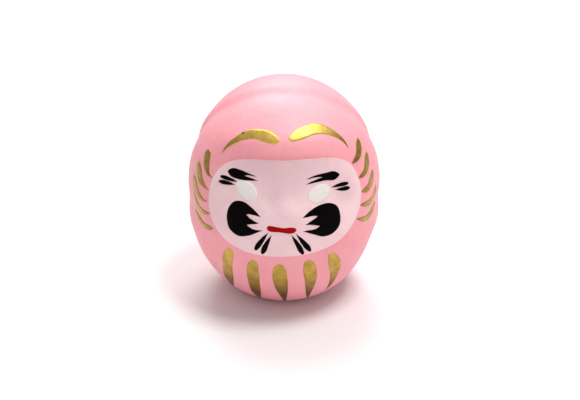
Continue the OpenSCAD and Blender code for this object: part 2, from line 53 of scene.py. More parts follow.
BODY_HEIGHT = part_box("body_coat")[1].z
HALF_WIDTH = 38.5 * MM
CENTRE_HEIGHT = 46 * MM
FOOT_RADIUS = 15 * MM
CROWN_POWER = 2.03
BELLY_POWER = 2.35
CROWN_DEPTH = BODY_HEIGHT - CENTRE_HEIGHT
BELLY_DEPTH = CENTRE_HEIGHT / (1 - (FOOT_RADIUS / HALF_WIDTH) ** BELLY_POWER) ** (1 / BELLY_POWER)

COAT_THICKNESS = 0.4 * MM
FACE_PAINT = 0.2 * MM
MARK_PAINT = 0.2 * MM
# The share of the face's outline from which its paint thins out
FACE_END = 0.985
# How high the paint's edge and the clay's rim are, and over how many degrees the relief fades in
PAINT_EDGE = 0.2 * MM
RIM_HEIGHT = 6 * MM
RELIEF_START = 14

# The face panel: half its width and its middle in turn, its widest place in rise, its reach up and down
# from there with the powers of its outline, and the overhang round it
PANEL_TURN, PANEL_MIDDLE, PANEL_RISE = 50, 0.5, 14
PANEL_UP, PANEL_UP_POWER = 22.8, 3
PANEL_DOWN, PANEL_DOWN_POWER = 33.6, 2.6
OVERHANG, OVERHANG_POWER, CREASE = 0.4, 1.8, 0.03
CORNER_FADE = 0.6
# How deep the face sinks and between which rises, the roll of the brow above it, and the nose
FACE_DEPTH = 3.2 * MM
CHIN_RISE, BROW_RISE = -18, 34
BROW_ROLL, BROW_REACH, BROW_SPREAD = 0.4 * MM, 1.45, 0.25
NOSE_HEIGHT, NOSE_PLACE, NOSE_SPREAD = 0.9 * MM, (1.5, 11), (6, 9)
# The step behind the brow where the hood begins, and the heights over which it starts at the shoulders
HOOD_DROP, HOOD_LEAN = 1.1 * MM, 31
HOOD_FRONT = (-8 * MM, 43 * MM)
HOOD_EDGE, HOOD_RUN = 2.5 * MM, 7 * MM
SHOULDER = (6 * MM, 20 * MM)
# The fold between the sleeves and the hips, and the fuller front
WAIST_DEPTH, WAIST_RISE, HIP_RISE, FOLD_SPREAD = 0.4 * MM, -6, -18, 7
SLEEVE_TURN = (50, 75)
FRONT_SWELL, FRONT_RISE = 1.3 * MM, (12, 34)
# Hand-formed unevenness: turn, rise, spread of turn, spread of rise, height
DENTS = (
    (80, -38, 30, 14, -0.5 * MM),
    (-85, -30, 28, 12, 0.3 * MM),
    (-62, 56, 20, 12, -0.3 * MM),
    (175, 20, 40, 22, 0.3 * MM),
    (140, -24, 26, 14, -0.3 * MM),
)


def sine(degrees):
    """The sine of an angle in degrees."""
    return np.sin(np.radians(degrees))


def cosine(degrees):
    """The cosine of an angle in degrees."""
    return np.cos(np.radians(degrees))


def smooth(low, high, x):
    """A step from 0 at low to 1 at high that starts and ends level."""
    t = np.clip((x - low) / (high - low), 0, 1)
    return t * t * (3 - 2 * t)


def bell(x, spread):
    """A bell curve, 1 at x = 0."""
    return np.exp(-((x / spread) ** 2))


def wrap(turn):
    """The same turn from -180 to 180."""
    return (turn + 180) % 360 - 180


def reach(rise):
    """How far the plain round body's skin is from its middle: a superellipse of width and height."""
    power = np.where(rise > 0, CROWN_POWER, BELLY_POWER)
    depth = np.where(rise > 0, CROWN_DEPTH, BELLY_DEPTH)
    return ((cosine(rise) / HALF_WIDTH) ** power + (np.abs(sine(rise)) / depth) ** power) ** (-1 / power)


def rise_of(height):
    """The rise at which the lower half of the round body is that high."""
    half = HALF_WIDTH * (1 - ((CENTRE_HEIGHT - height) / BELLY_DEPTH) ** BELLY_POWER) ** (1 / BELLY_POWER)
    return np.degrees(np.arctan2(height - CENTRE_HEIGHT, half))


def panel_reach(turn, rise):
    """1 on the face's outline, less inside, more outside: two superellipses that meet at its widest."""
    upper = rise > PANEL_RISE
    power = np.where(upper, PANEL_UP_POWER, PANEL_DOWN_POWER)
    height = np.where(upper, PANEL_UP, PANEL_DOWN)
    across = np.abs(turn - PANEL_MIDDLE) / PANEL_TURN
    return (across**power + (np.abs(rise - PANEL_RISE) / height) ** power) ** (1 / power)


def relief(turn, rise):
    """How far the skin stands out from the plain body: a sum that fades in above the foot.

    The face sinks by a smooth step from chin to brow, and the sinking dies away outside its outline as the
    brow's overhang. The brow rolls out in a bell above the outline, and the nose is a bell both ways. The
    hood drops behind a leaning plane and comes back in a bell. The waist is one bell less another, at the
    sleeves only. The front swells with the square of the turn's cosine, and each dent is a bell both ways.
    """
    turn = wrap(turn)
    inside = panel_reach(turn, rise)
    corner_fade = np.maximum(0, 1 - CORNER_FADE * (turn / PANEL_TURN) ** 2)
    outside = (inside - 1 + np.sqrt((inside - 1) ** 2 + CREASE**2)) / 2
    overhang = np.maximum(0, 1 - outside / OVERHANG) ** OVERHANG_POWER
    sink = -FACE_DEPTH * corner_fade * smooth(CHIN_RISE, BROW_RISE, rise) * overhang
    brow = BROW_ROLL * corner_fade * smooth(PANEL_RISE, BROW_RISE, rise)
    brow = brow * bell(inside - BROW_REACH, BROW_SPREAD)
    nose = NOSE_HEIGHT * bell(turn - NOSE_PLACE[0], NOSE_SPREAD[0])
    nose = nose * bell(rise - NOSE_PLACE[1], NOSE_SPREAD[1])
    forward = -reach(rise) * cosine(rise) * cosine(turn) - HOOD_FRONT[0]
    above = reach(rise) * sine(rise) - HOOD_FRONT[1]
    ahead = forward * cosine(HOOD_LEAN) + above * sine(HOOD_LEAN)
    hood = -HOOD_DROP * (1 - smooth(-HOOD_EDGE, HOOD_EDGE, ahead)) * bell(ahead, HOOD_RUN)
    hood = hood * smooth(*SHOULDER, reach(rise) * sine(rise))
    waist = WAIST_DEPTH * smooth(*SLEEVE_TURN, np.abs(turn))
    waist = waist * (bell(rise - HIP_RISE, FOLD_SPREAD) - bell(rise - WAIST_RISE, FOLD_SPREAD))
    swell = FRONT_SWELL * np.maximum(0, cosine(turn)) ** 2 * bell(rise - FRONT_RISE[0], FRONT_RISE[1])
    dents = sum(
        height * bell(wrap(turn - at_turn), turn_spread) * bell(rise - at_rise, rise_spread)
        for at_turn, at_rise, turn_spread, rise_spread, height in DENTS
    )
    rim_rise = rise_of(RIM_HEIGHT)
    near_foot = smooth(rim_rise, rim_rise + RELIEF_START, rise)
    return near_foot * (sink + brow + nose + hood + waist + swell + dents * cosine(rise))


# Waves of a hand-smoothed ground: waves round the body, waves up it, phase and height
HAND_WAVES = (
    (7, 9, 0.3, 0.05 * MM),
    (11, 6, 1.9, 0.04 * MM),
    (5, 17, 4.1, 0.04 * MM),
    (19, 13, 2.6, 0.025 * MM),
    (14, 23, 5.2, 0.02 * MM),
)


def hand_made(turn, rise):
    """Low waves that a hand leaves in the ground, fading out at the foot and the crown."""
    waves = sum(
        height * sine(across * turn + np.degrees(phase)) * cosine(up * rise + np.degrees(phase * 2))
        for across, up, phase, height in HAND_WAVES
    )
    rim_rise = rise_of(RIM_HEIGHT)
    return waves * cosine(rise) * smooth(rim_rise, rim_rise + RELIEF_START, rise)


def skin(turn, rise, lift):
    """The point at a place, lift outside the painted skin: the middle plus a radius in that direction."""
    out = reach(rise) + relief(turn, rise) + hand_made(turn, rise) + lift
    return np.stack(
        [
            out * cosine(rise) * sine(turn),
            -out * cosine(rise) * cosine(turn),
            CENTRE_HEIGHT + out * sine(rise),
        ],
        axis=-1,
    )


# ---------------------------------------------------------------- making meshes


def quads(rows, columns, closed, first=0):
    """The faces of a grid numbered row by row; a closed grid joins its last column to its first."""
    i = np.arange(rows - 1)[:, None]
    j = np.arange(columns if closed else columns - 1)[None, :]
    right = (j + 1) % columns
    corners = [i * columns + j, i * columns + right, (i + 1) * columns + right, (i + 1) * columns + j]
    return (np.stack(np.broadcast_arrays(*corners), axis=-1) + first).reshape(-1, 4)


def add_piece(name, points, faces, material, replaced, notes):
    """Makes a smooth piece from points and groups of faces, puts it on the body and lets it stand for
    CAD nodes. Notes are named numbers or vectors, one for each point, which the materials read."""
    mesh = bpy.data.meshes.new(name)
    mesh.from_pydata(points.tolist(), [], [face for group in faces for face in group.tolist()])
    for note, values in notes.items():
        vector = values.ndim == 2
        layer = mesh.attributes.new(note, "FLOAT_VECTOR" if vector else "FLOAT", "POINT")
        layer.data.foreach_set("vector" if vector else "value", values.astype(np.float32).ravel())
    mesh.polygons.foreach_set("use_smooth", np.ones(len(mesh.polygons), bool))
    mesh.materials.append(material)
    mesh.validate()
    mesh.update()
    piece = bpy.data.objects.new(name, mesh)
    bpy.context.scene.collection.objects.link(piece)
    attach(piece, "root")
    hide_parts(*replaced)


# ---------------------------------------------------------------- making materials

# The stretch of a noise that most of its values lie in
MOST = (0.3, 0.7)
# How a pattern is drawn out: upright streaks, sideways streaks, streaks along a stroke, and fibres
UPRIGHT, SIDEWAYS, ALONG, FIBRE = (1, 1, 0.16), (0.2, 1, 1), (0.12, 1, 1), (1, 1, 0.3)
# How far from its middle a speck ends, and how sharply the patches that hold specks end
SPECK_EDGE, PATCH_EDGE = (0.03, 0.05), 0.02
# How much smoother and rougher than it mostly is a brushed paint gets, how far a clay pit darkens towards
# its dark colour, and how dark a paper's fibres are beside its dark colour
SMOOTHER, ROUGHER, PIT_SHARE, FIBRE_SHADE = 0.08, 0.1, 0.7, 0.6
# A Mix node's sockets for colours, by number because its other kinds share their names
COLOUR_A, COLOUR_B, COLOUR_RESULT = 6, 7, 2

# Paints, paper, clay and glue in linear red, green and blue; those of a brushed paint or paper run from
# its dark colour to its light one, and a gold ends with the painted glint of its flakes
PINK_DEEP, PINK_LIGHT, PINK_WORN = (0.86, 0.315, 0.36), (0.9, 0.36, 0.405), (0.91, 0.4, 0.44)
# The robe's darker pink in its hollows is painted shade
PINK_HOLLOW_SHADE, PINK_SPECK = (0.74, 0.24, 0.275), (0.3, 0.1, 0.09)
PALE_DEEP, PALE_LIGHT, PALE_STROKE = (0.83, 0.56, 0.585), (0.87, 0.615, 0.635), (0.87, 0.65, 0.665)
# The face's grey-pink for its recess is painted shade
PALE_HOLLOW_SHADE, PALE_EDGE, PALE_SPECK = (0.57, 0.37, 0.4), (0.84, 0.45, 0.48), (0.35, 0.16, 0.13)
EYE_WHITE = ((0.72, 0.66, 0.62), (0.78, 0.73, 0.69))
BLACK = ((0.0008, 0.0005, 0.0005), (0.002, 0.001, 0.001))
RED = ((0.28, 0.002, 0.001), (0.42, 0.002, 0.001))
# One gold paint in copies of painted light: lit for the brows, half lit for the stripes, painted shade for
# the folds
GOLD_LIT = ((0.5, 0.32, 0.05), (0.68, 0.46, 0.09), (0.95, 0.78, 0.3))
GOLD_HALF_LIT = ((0.38, 0.245, 0.035), (0.53, 0.36, 0.065), (0.8, 0.6, 0.18))
GOLD_SHADED = ((0.31, 0.19, 0.034), (0.44, 0.285, 0.058), (0.7, 0.52, 0.17))
# The brown low on the belly is painted shade and a painted reflection of the floor
GOLD_TAIL, GOLD_SHADE_BELOW, GOLD_CHIP = (0.22, 0.11, 0.02), (0.13, 0.05, 0.008), (0.1, 0.03, 0.008)
PULP_FRONT = ((0.42, 0.38, 0.31), (0.56, 0.51, 0.42))
PULP_BACK = ((0.38, 0.34, 0.27), (0.52, 0.47, 0.38))
STRIP_PAPER = ((0.62, 0.57, 0.46), (0.74, 0.69, 0.58))
CLAY_DEEP, CLAY_LIGHT = (0.25, 0.155, 0.095), (0.42, 0.29, 0.195)
CLAY_DUST, CLAY_PIT = (0.55, 0.43, 0.32), (0.12, 0.07, 0.045)
GLUE_DEEP, GLUE_LIGHT = (0.35, 0.18, 0.05), (0.68, 0.45, 0.18)


def new_material(name):
    """A material with its shader; returns the material, its nodes and its shader."""
    material = bpy.data.materials.new(name)
    material.use_nodes = True
    tree = material.node_tree
    return material, tree, tree.nodes["Principled BSDF"]


def add_node(tree, kind, settings=(), **inputs):
    """A node with settings and inputs given by name; an input is a value or another node's socket."""
    made = tree.nodes.new(kind)
    for name, value in dict(settings).items():
        setattr(made, name, value)
    for name, value in inputs.items():
        socket = made.inputs[name.replace("_", " ")]
        if isinstance(value, bpy.types.NodeSocket):
            tree.links.new(value, socket)
        else:
            socket.default_value = value
    return made


def place_of(tree):
    """The object's own coordinates, in metres."""
    return add_node(tree, "ShaderNodeTexCoord").outputs["Object"]


def note_of(tree, name, kind="Fac"):
    """A note that the piece's mesh carries."""
    return add_node(tree, "ShaderNodeAttribute", {"attribute_name": name}).outputs[kind]


def stretched(tree, where, scale):
    """Coordinates stretched along each axis."""
    return add_node(tree, "ShaderNodeMapping", Vector=where, Scale=scale).outputs["Vector"]


def grain(tree, where, per_metre, detail=3.0, rough=0.5, twist=0.0):
    """Soft noise with that many lumps to a metre, about 0.5 on average."""
    return add_node(
        tree,
        "ShaderNodeTexNoise",
        Vector=where,
        Scale=per_metre,
        Detail=detail,
        Roughness=rough,
        Distortion=twist,
    ).outputs["Fac"]


def cells(tree, where, per_metre, kind="Distance"):
    """Cells round points, that many to a metre: how far from its cell's point, or the cell's colour."""
    made = add_node(tree, "ShaderNodeTexVoronoi", Vector=where, Scale=per_metre, Randomness=1.0)
    return made.outputs[kind]


def ramped(tree, value, low, high, start=0.0, end=1.0):
    """The value with low..high stretched smoothly to start..end and cut off outside it."""
    settings = {"clamp": True, "interpolation_type": "SMOOTHSTEP"}
    made = add_node(tree, "ShaderNodeMapRange", settings, Value=value)
    made.inputs["From Min"].default_value = low
    made.inputs["From Max"].default_value = high
    made.inputs["To Min"].default_value = start
    made.inputs["To Max"].default_value = end
    return made.outputs["Result"]


def mixed(tree, share, first, second):
    """The first colour turning into the second as share goes from 0 to 1."""
    made = add_node(tree, "ShaderNodeMix", {"data_type": "RGBA"})
    tree.links.new(share, made.inputs["Factor"])
    for socket, colour in ((made.inputs[COLOUR_A], first), (made.inputs[COLOUR_B], second)):
        if isinstance(colour, bpy.types.NodeSocket):
            tree.links.new(colour, socket)
        else:
            socket.default_value = (*colour, 1)
    return made.outputs[COLOUR_RESULT]


def times(tree, a, b):
    """The product of two values."""
    made = add_node(tree, "ShaderNodeMath", {"operation": "MULTIPLY"})
    for socket, value in zip(made.inputs, (a, b)):
        if isinstance(value, bpy.types.NodeSocket):
            tree.links.new(value, socket)
        else:
            socket.default_value = value
    return made.outputs[0]


def bumps(tree, *layers):
    """A normal raised by layers of relief, each a height from 0 to 1 and a depth in metres."""
    normal = None
    for height, depth in layers:
        made = add_node(tree, "ShaderNodeBump", Height=height, Distance=depth, Strength=1.0)
        if normal is not None:
            tree.links.new(normal, made.inputs["Normal"])
        normal = made.outputs["Normal"]
    return normal


def dress(tree, shader, colour, roughness, normal, **numbers):
    """Joins a colour, a roughness and a normal to the shader, and sets its plain numbers by name."""
    tree.links.new(colour, shader.inputs["Base Color"])
    tree.links.new(roughness, shader.inputs["Roughness"])
    tree.links.new(normal, shader.inputs["Normal"])
    for name, value in numbers.items():
        shader.inputs[name.replace("_", " ")].default_value = value


def specks(tree, where, per_metre, patches, rare, strength=1.0):
    """Round specks, that many to a metre, kept only where a noise of wide patches is over rare."""
    dots = ramped(tree, cells(tree, where, per_metre), *SPECK_EDGE, start=strength, end=0)
    kept = ramped(tree, grain(tree, where, patches, detail=1), rare, rare + PATCH_EDGE)
    return times(tree, dots, kept)


def robe_pink():
    """Matt pink paint over chalk: soft clouds, upright streaks, painted shade in its hollows and a few dark
    specks.
    """
    material, tree, shader = new_material("robe_pink")
    where = place_of(tree)
    clouds = grain(tree, where, per_metre=45)
    streaks = grain(tree, stretched(tree, where, UPRIGHT), per_metre=900)
    fine = grain(tree, where, per_metre=2200, detail=4, rough=0.6)
    # Painted shade: the robe darkens where its skin sinks in
    hollow_shade = ramped(tree, note_of(tree, "hollow_shade"), low=0.2, high=1, end=0.6)
    colour = mixed(tree, ramped(tree, clouds, *MOST), PINK_DEEP, PINK_LIGHT)
    colour = mixed(tree, ramped(tree, streaks, low=0.3, high=0.75, end=0.35), colour, PINK_WORN)
    colour = mixed(tree, hollow_shade, colour, PINK_HOLLOW_SHADE)
    colour = mixed(tree, specks(tree, where, per_metre=130, patches=70, rare=0.62), colour, PINK_SPECK)
    roughness = ramped(tree, fine, *MOST, start=0.46, end=0.6)
    waves = grain(tree, where, per_metre=260)
    normal = bumps(tree, (waves, 0.25 * MM), (streaks, 0.04 * MM), (fine, 0.03 * MM))
    dress(tree, shader, colour, roughness, normal, Specular_IOR_Level=0.4)
    return material


def face_pale():
    """Pale pink face paint, brushed sideways, darker in its hollows as painted shade and thinner towards
    its edge, where the robe shows through."""
    material, tree, shader = new_material("face_pale")
    where = place_of(tree)
    strokes = grain(tree, stretched(tree, where, SIDEWAYS), per_metre=800)
    clouds = grain(tree, where, per_metre=90)
    fine = grain(tree, where, per_metre=2500, rough=0.6)
    # Painted shade: the face darkens in its recess under the brow and in a few patches
    painted_shade = ramped(tree, note_of(tree, "hollow_shade"), low=0.2, high=0.75, end=0.75)
    edge = ramped(tree, note_of(tree, "edge"), low=FACE_END, high=1.0)
    thin_edge_and_shaded_gold = times(tree, edge, ramped(tree, strokes, low=0.3, high=0.6, start=0.3))
    spots = specks(tree, where, per_metre=170, patches=60, rare=0.6, strength=0.8)
    colour = mixed(tree, ramped(tree, clouds, *MOST), PALE_DEEP, PALE_LIGHT)
    colour = mixed(tree, ramped(tree, strokes, low=0.35, high=0.75, end=0.4), colour, PALE_STROKE)
    colour = mixed(tree, painted_shade, colour, PALE_HOLLOW_SHADE)
    colour = mixed(tree, thin_edge_and_shaded_gold, colour, PALE_EDGE)
    colour = mixed(tree, spots, colour, PALE_SPECK)
    roughness = ramped(tree, fine, *MOST, start=0.42, end=0.58)
    waves = grain(tree, where, per_metre=300, detail=2)
    normal = bumps(tree, (waves, 0.2 * MM), (strokes, 0.05 * MM), (fine, 0.03 * MM))
    dress(tree, shader, colour, roughness, normal, Specular_IOR_Level=0.4)
    return material


def brushed_paint(name, dark, light, rough, gloss, depth):
    """Thick brush paint: streaks along the stroke, small clouds and an uneven gloss."""
    material, tree, shader = new_material(name)
    where = place_of(tree)
    stroke = note_of(tree, "stroke", "Vector")
    streaks = grain(tree, stretched(tree, stroke, ALONG), per_metre=2600)
    clouds = grain(tree, where, per_metre=350)
    colour = mixed(tree, ramped(tree, streaks, low=0.3, high=0.75), dark, light)
    colour = mixed(tree, ramped(tree, clouds, low=0.4, high=0.8, end=0.5), colour, dark)
    roughness = ramped(tree, clouds, *MOST, start=rough - SMOOTHER, end=rough + ROUGHER)
    normal = bumps(tree, (streaks, depth), (grain(tree, where, per_metre=3000), depth / 2))
    dress(tree, shader, colour, roughness, normal, Specular_IOR_Level=gloss)
    return material


# A chip on the upper edge of the left brow, and where it begins and ends
CHIP = (-33, 47.8)
CHIP_REACH = (0.4 * MM, 0.75 * MM)
# Heights between which the gold turns brown under the belly: painted shade and a painted reflection of the
# floor
GOLD_SHADE_HEIGHTS = (6 * MM, 24 * MM)


def gold_paint(name, dark, light, glint):
    """Metallic gold paint: fine flakes whose painted glints catch the light one by one, browner in clouds
    and at a stroke's tail, darker low on the belly as painted shade, with a chip on one brow."""
    material, tree, shader = new_material(name)
    where = place_of(tree)
    flakes = 3400
    # Painted glints: single flakes lightened in colour
    shine = ramped(tree, cells(tree, where, flakes, "Color"), low=0.5, high=0.9, end=0.4)
    clouds = grain(tree, where, per_metre=240, rough=0.55)
    tail = ramped(tree, note_of(tree, "tail"), low=0.4, high=1.0, end=0.5)
    height = add_node(tree, "ShaderNodeSeparateXYZ", Vector=where).outputs["Z"]
    from_chip = add_node(tree, "ShaderNodeVectorMath", {"operation": "DISTANCE"})
    tree.links.new(where, from_chip.inputs[0])
    from_chip.inputs[1].default_value = skin(*CHIP, MARK_PAINT)
    chip = ramped(tree, from_chip.outputs["Value"], *CHIP_REACH, start=0.9, end=0)
    colour = mixed(tree, ramped(tree, clouds, *MOST), dark, light)
    colour = mixed(tree, shine, colour, glint)
    colour = mixed(tree, tail, colour, GOLD_TAIL)
    # Painted shade: the gold darkens low on the belly
    colour = mixed(tree, ramped(tree, height, *GOLD_SHADE_HEIGHTS, start=0.95, end=0), colour, GOLD_SHADE_BELOW)
    colour = mixed(tree, chip, colour, GOLD_CHIP)
    roughness = ramped(tree, clouds, *MOST, start=0.42, end=0.34)
    waves = grain(tree, where, per_metre=700)
    normal = bumps(tree, (waves, 0.04 * MM), (cells(tree, where, flakes), 0.05 * MM))
    dress(tree, shader, colour, roughness, normal, Metallic=0.85)
    return material


def clay_brown():
    """Unglazed clay, pitted and dusty."""
    material, tree, shader = new_material("clay_brown")
    where = place_of(tree)
    clouds = grain(tree, where, per_metre=130, detail=4, rough=0.6)
    grit = grain(tree, where, per_metre=1800, detail=4, rough=0.65)
    pit = ramped(tree, cells(tree, where, per_metre=420), low=0.05, high=0.22, start=1, end=0)
    colour = mixed(tree, ramped(tree, clouds, *MOST), CLAY_DEEP, CLAY_LIGHT)
    colour = mixed(tree, ramped(tree, grit, low=0.55, high=0.75, end=0.6), colour, CLAY_DUST)
    colour = mixed(tree, times(tree, pit, PIT_SHARE), colour, CLAY_PIT)
    roughness = ramped(tree, grit, *MOST, start=0.75, end=0.95)
    normal = bumps(tree, (clouds, 0.5 * MM), (pit, -0.2 * MM), (grit, 0.15 * MM))
    dress(tree, shader, colour, roughness, normal)
    return material


def pulp_paper(name, dark, light):
    """Moulded paper: short fibres, soft clouds and a felted surface."""
    material, tree, shader = new_material(name)
    where = place_of(tree)
    fibres = grain(tree, stretched(tree, where, FIBRE), per_metre=1400, detail=5, twist=1.5)
    clouds = grain(tree, where, per_metre=90)
    fibre_colour = tuple(FIBRE_SHADE * c for c in dark)
    colour = mixed(tree, ramped(tree, clouds, *MOST), dark, light)
    colour = mixed(tree, ramped(tree, fibres, low=0.55, high=0.7, end=0.6), colour, fibre_colour)
    roughness = ramped(tree, fibres, *MOST, start=0.8, end=0.95)
    normal = bumps(tree, (grain(tree, where, per_metre=300), 0.4 * MM), (fibres, 0.12 * MM))
    dress(tree, shader, colour, roughness, normal)
    return material


def set_glue():
    """Hide glue, amber and uneven, with a low shine."""
    material, tree, shader = new_material("set_glue")
    drips = grain(tree, place_of(tree), per_metre=260, detail=4)
    colour = mixed(tree, ramped(tree, drips, *MOST), GLUE_DEEP, GLUE_LIGHT)
    roughness = ramped(tree, drips, *MOST, start=0.25, end=0.5)
    dress(tree, shader, colour, roughness, bumps(tree, (drips, 0.6 * MM)))
    return material


# ---------------------------------------------------------------- pieces of the body

# Points round the robe
AROUND = 320
# The robe's bands of rows, closer together over the brow and the hood: the rise a band ends at, its rows
ROBE_BANDS = ((-24, 36), (24, 48), (46, 48), (90, 46))
# Its rows below those, up to the clay's rim, and how many rows the inner wall steps over
FOOT_ROWS = 14
INNER_STEP = 4
# Over how many degrees the paint thins out at the foot, and by what share of it
LIP, LIP_THINNING = 2.5, 0.6
# The depth at which a hollow in the robe has its deepest painted shade
FULL_SHADE_DEPTH = 2.5 * MM


def robe_rises():
    """Rises from the foot to just under the crown, in bands of equal steps."""
    low = rise_of(PAINT_EDGE)
    rim = rise_of(RIM_HEIGHT)
    parts = [np.linspace(low, rim, FOOT_ROWS, endpoint=False)]
    start = rim
    for end, count in ROBE_BANDS:
        parts.append(np.linspace(start, end, count, endpoint=False))
        start = end
    return np.concatenate(parts)


def robe():
    """The painted coat as a closed wall: a grid of the skin outside, a grid one coat further in that
    meets the paper, and a lip at the foot where the paint thins out."""
    turns = np.arange(AROUND) * 360 / AROUND
    rises = robe_rises()
    inner_rises = rises[::INNER_STEP]
    turn, rise = np.meshgrid(turns, rises)
    foot = rise_of(PAINT_EDGE)
    thinning = -COAT_THICKNESS * LIP_THINNING * (1 - smooth(foot, foot + LIP, rise))
    outer = skin(turn, rise, thinning)
    inner_turn, inner_rise = np.meshgrid(turns, inner_rises)
    inner = skin(inner_turn, inner_rise, -COAT_THICKNESS)
    crown = np.stack([skin(0.0, 90.0, 0.0), skin(0.0, 90.0, -COAT_THICKNESS)])
    points = np.concatenate([outer.reshape(-1, 3), inner.reshape(-1, 3), crown])
    first_inner = outer.shape[0] * AROUND
    top = len(points) - 2
    j = np.arange(AROUND)
    right = (j + 1) % AROUND
    last_outer = (outer.shape[0] - 1) * AROUND
    last_inner = first_inner + (inner.shape[0] - 1) * AROUND
    faces = [
        quads(outer.shape[0], AROUND, True),
        quads(inner.shape[0], AROUND, True, first_inner)[:, ::-1],
        np.stack([last_outer + j, last_outer + right, np.full(AROUND, top)], axis=-1),
        np.stack([last_inner + right, last_inner + j, np.full(AROUND, top + 1)], axis=-1),
        np.stack([j + first_inner, right + first_inner, right, j], axis=-1),
    ]
    # Painted shade: how deep the skin sinks, for the robe's darker colour in its hollows
    hollow_shade = np.clip(-relief(turn, rise) / FULL_SHADE_DEPTH, 0, 1)
    hollow_shade = np.concatenate([hollow_shade.ravel(), np.zeros(inner_turn.size + 2)])
    add_piece("robe", points, faces, robe_pink(), ["body_coat"], {"hollow_shade": hollow_shade})


# Points round the face, its rows, and how many of them the underside steps over
FACE_AROUND, FACE_ROWS, FACE_UNDER_STEP = 480, 50, 8
# The innermost ring, the ring where the close rows start, as shares of the outline, and their number
FACE_CORE, FACE_CLOSE, FACE_CLOSE_ROWS = 0.04, 0.9, 14
# The share over which the paint rounds off, its thickness at the rim, and how deep its underside lies
FACE_ROUND, FACE_RIM, FACE_UNDER = 0.025, 0.15, -0.1 * MM
# Where the brush left the face's regular outline: angle round the face, spread of angle, share out or in
OUTLINE_WAVES = (
    (-125, 26, 0.03),
    (-66, 16, -0.018),
    (-36, 12, -0.02),
    (46, 24, 0.026),
    (149, 20, -0.03),
    (2, 14, 0.016),
)
# Patches of painted shade on the face: turn, rise, spread of turn, spread of rise, how much
FACE_SHADE_PATCHES = ((0, 14, 11, 9, 0.36), (40, 13, 12, 10, 0.4))
TINY = 1e-9


def face():
    """The pale face paint: rings that are shares of the panel's outline, a superellipse with a hand's
    waves, round its middle; the paint rounds off at the outermost, and an underside closes it."""
    rows = np.linspace(FACE_CORE, FACE_CLOSE, FACE_ROWS, endpoint=False)
    share = np.concatenate([rows, np.linspace(FACE_CLOSE, 1, FACE_CLOSE_ROWS)])
    angle, share = np.meshgrid(np.arange(FACE_AROUND) * 360 / FACE_AROUND, share)
    across, up = cosine(angle), sine(angle)
    height = np.where(up > 0, PANEL_UP, PANEL_DOWN)
    power = np.where(up > 0, PANEL_UP_POWER, PANEL_DOWN_POWER)
    length = ((np.abs(across) + TINY) ** power + (np.abs(up) + TINY) ** power) ** (-1 / power)
    wobble = sum(size * bell(wrap(angle - at), spread) for at, spread, size in OUTLINE_WAVES)
    out = share * length * (1 + wobble * share)
    turn = PANEL_MIDDLE + PANEL_TURN * out * across
    rise = PANEL_RISE + height * out * up
    past = np.clip((share - (1 - FACE_ROUND)) / FACE_ROUND, 0, 1)
    top = skin(turn, rise, FACE_PAINT * (FACE_RIM + (1 - FACE_RIM) * np.sqrt(1 - past**2)))
    under_turn = np.concatenate([turn[::FACE_UNDER_STEP], turn[-1:]])
    under_rise = np.concatenate([rise[::FACE_UNDER_STEP], rise[-1:]])
    under = skin(under_turn, under_rise, FACE_UNDER)
    middle = [skin(PANEL_MIDDLE, PANEL_RISE, lift) for lift in (FACE_PAINT, FACE_UNDER)]
    points = np.concatenate([top.reshape(-1, 3), under.reshape(-1, 3), middle])
    first_under = top.shape[0] * FACE_AROUND
    j = np.arange(FACE_AROUND)
    right = (j + 1) % FACE_AROUND
    last_top = (top.shape[0] - 1) * FACE_AROUND
    last_under = first_under + (under.shape[0] - 1) * FACE_AROUND
    centre = len(points) - 2
    faces = [
        quads(top.shape[0], FACE_AROUND, True)[:, ::-1],
        quads(under.shape[0], FACE_AROUND, True, first_under),
        np.stack([j, right, np.full(FACE_AROUND, centre)], axis=-1),
        np.stack([right + first_under, j + first_under, np.full(FACE_AROUND, centre + 1)], axis=-1),
        np.stack([last_top + j, last_under + j, last_under + right, last_top + right], axis=-1),
    ]
    rest = np.zeros(under.shape[0] * FACE_AROUND + 2)
    # Patches of painted shade, added to the shade of the face's recess
    painted_shade = sum(
        much * bell(turn - at_turn, turn_spread) * bell(rise - at_rise, rise_spread)
        for at_turn, at_rise, turn_spread, rise_spread, much in FACE_SHADE_PATCHES
    )
    hollow_shade = np.clip(painted_shade - relief(turn, rise) / FACE_DEPTH, 0, 1)
    hollow_shade = np.concatenate([hollow_shade.ravel(), rest])
    hollow_shade[centre] = hollow_shade[0]
    notes = {"edge": np.concatenate([share.ravel(), rest]), "hollow_shade": hollow_shade}
    add_piece("face", points, faces, face_pale(), ["face_coat"], notes)


# ---------------------------------------------------------------- brush marks

# Steps across a mark, and how far its underside is sunk into the paint below
MARK_ACROSS = 14
SUNK = 0.06 * MM
# A mark's thickness at its rim as a share of its fullest, the power that squares its dome, and the
# share of its greatest width at which it is at its fullest
RIM_SHARE, DOME_POWER, FULL_WIDTH = 0.2, 5, 0.5


def ground(turn, rise):
    """The paint that a mark lies on: the face's paint inside its outline, none on the robe."""
    return FACE_PAINT * (1 - smooth(FACE_END, 1.0, panel_reach(wrap(turn), rise)))


def bezier(points, t):
    """The Bezier curve of some places, at each t from 0 to 1: mixtures of neighbours, mixed again."""
    rows = [np.broadcast_to(np.array(p, float), (len(t), 2)) for p in points]
    while len(rows) > 1:
        rows = [a + (b - a) * t[:, None] for a, b in zip(rows, rows[1:])]
    return rows[0]


def knots_of(points):
    """How far along each place is, from 0 at the first to 1 at the last."""
    steps = np.linalg.norm(np.diff(points, axis=0), axis=1)
    return np.concatenate([[0], np.cumsum(steps)]) / steps.sum()


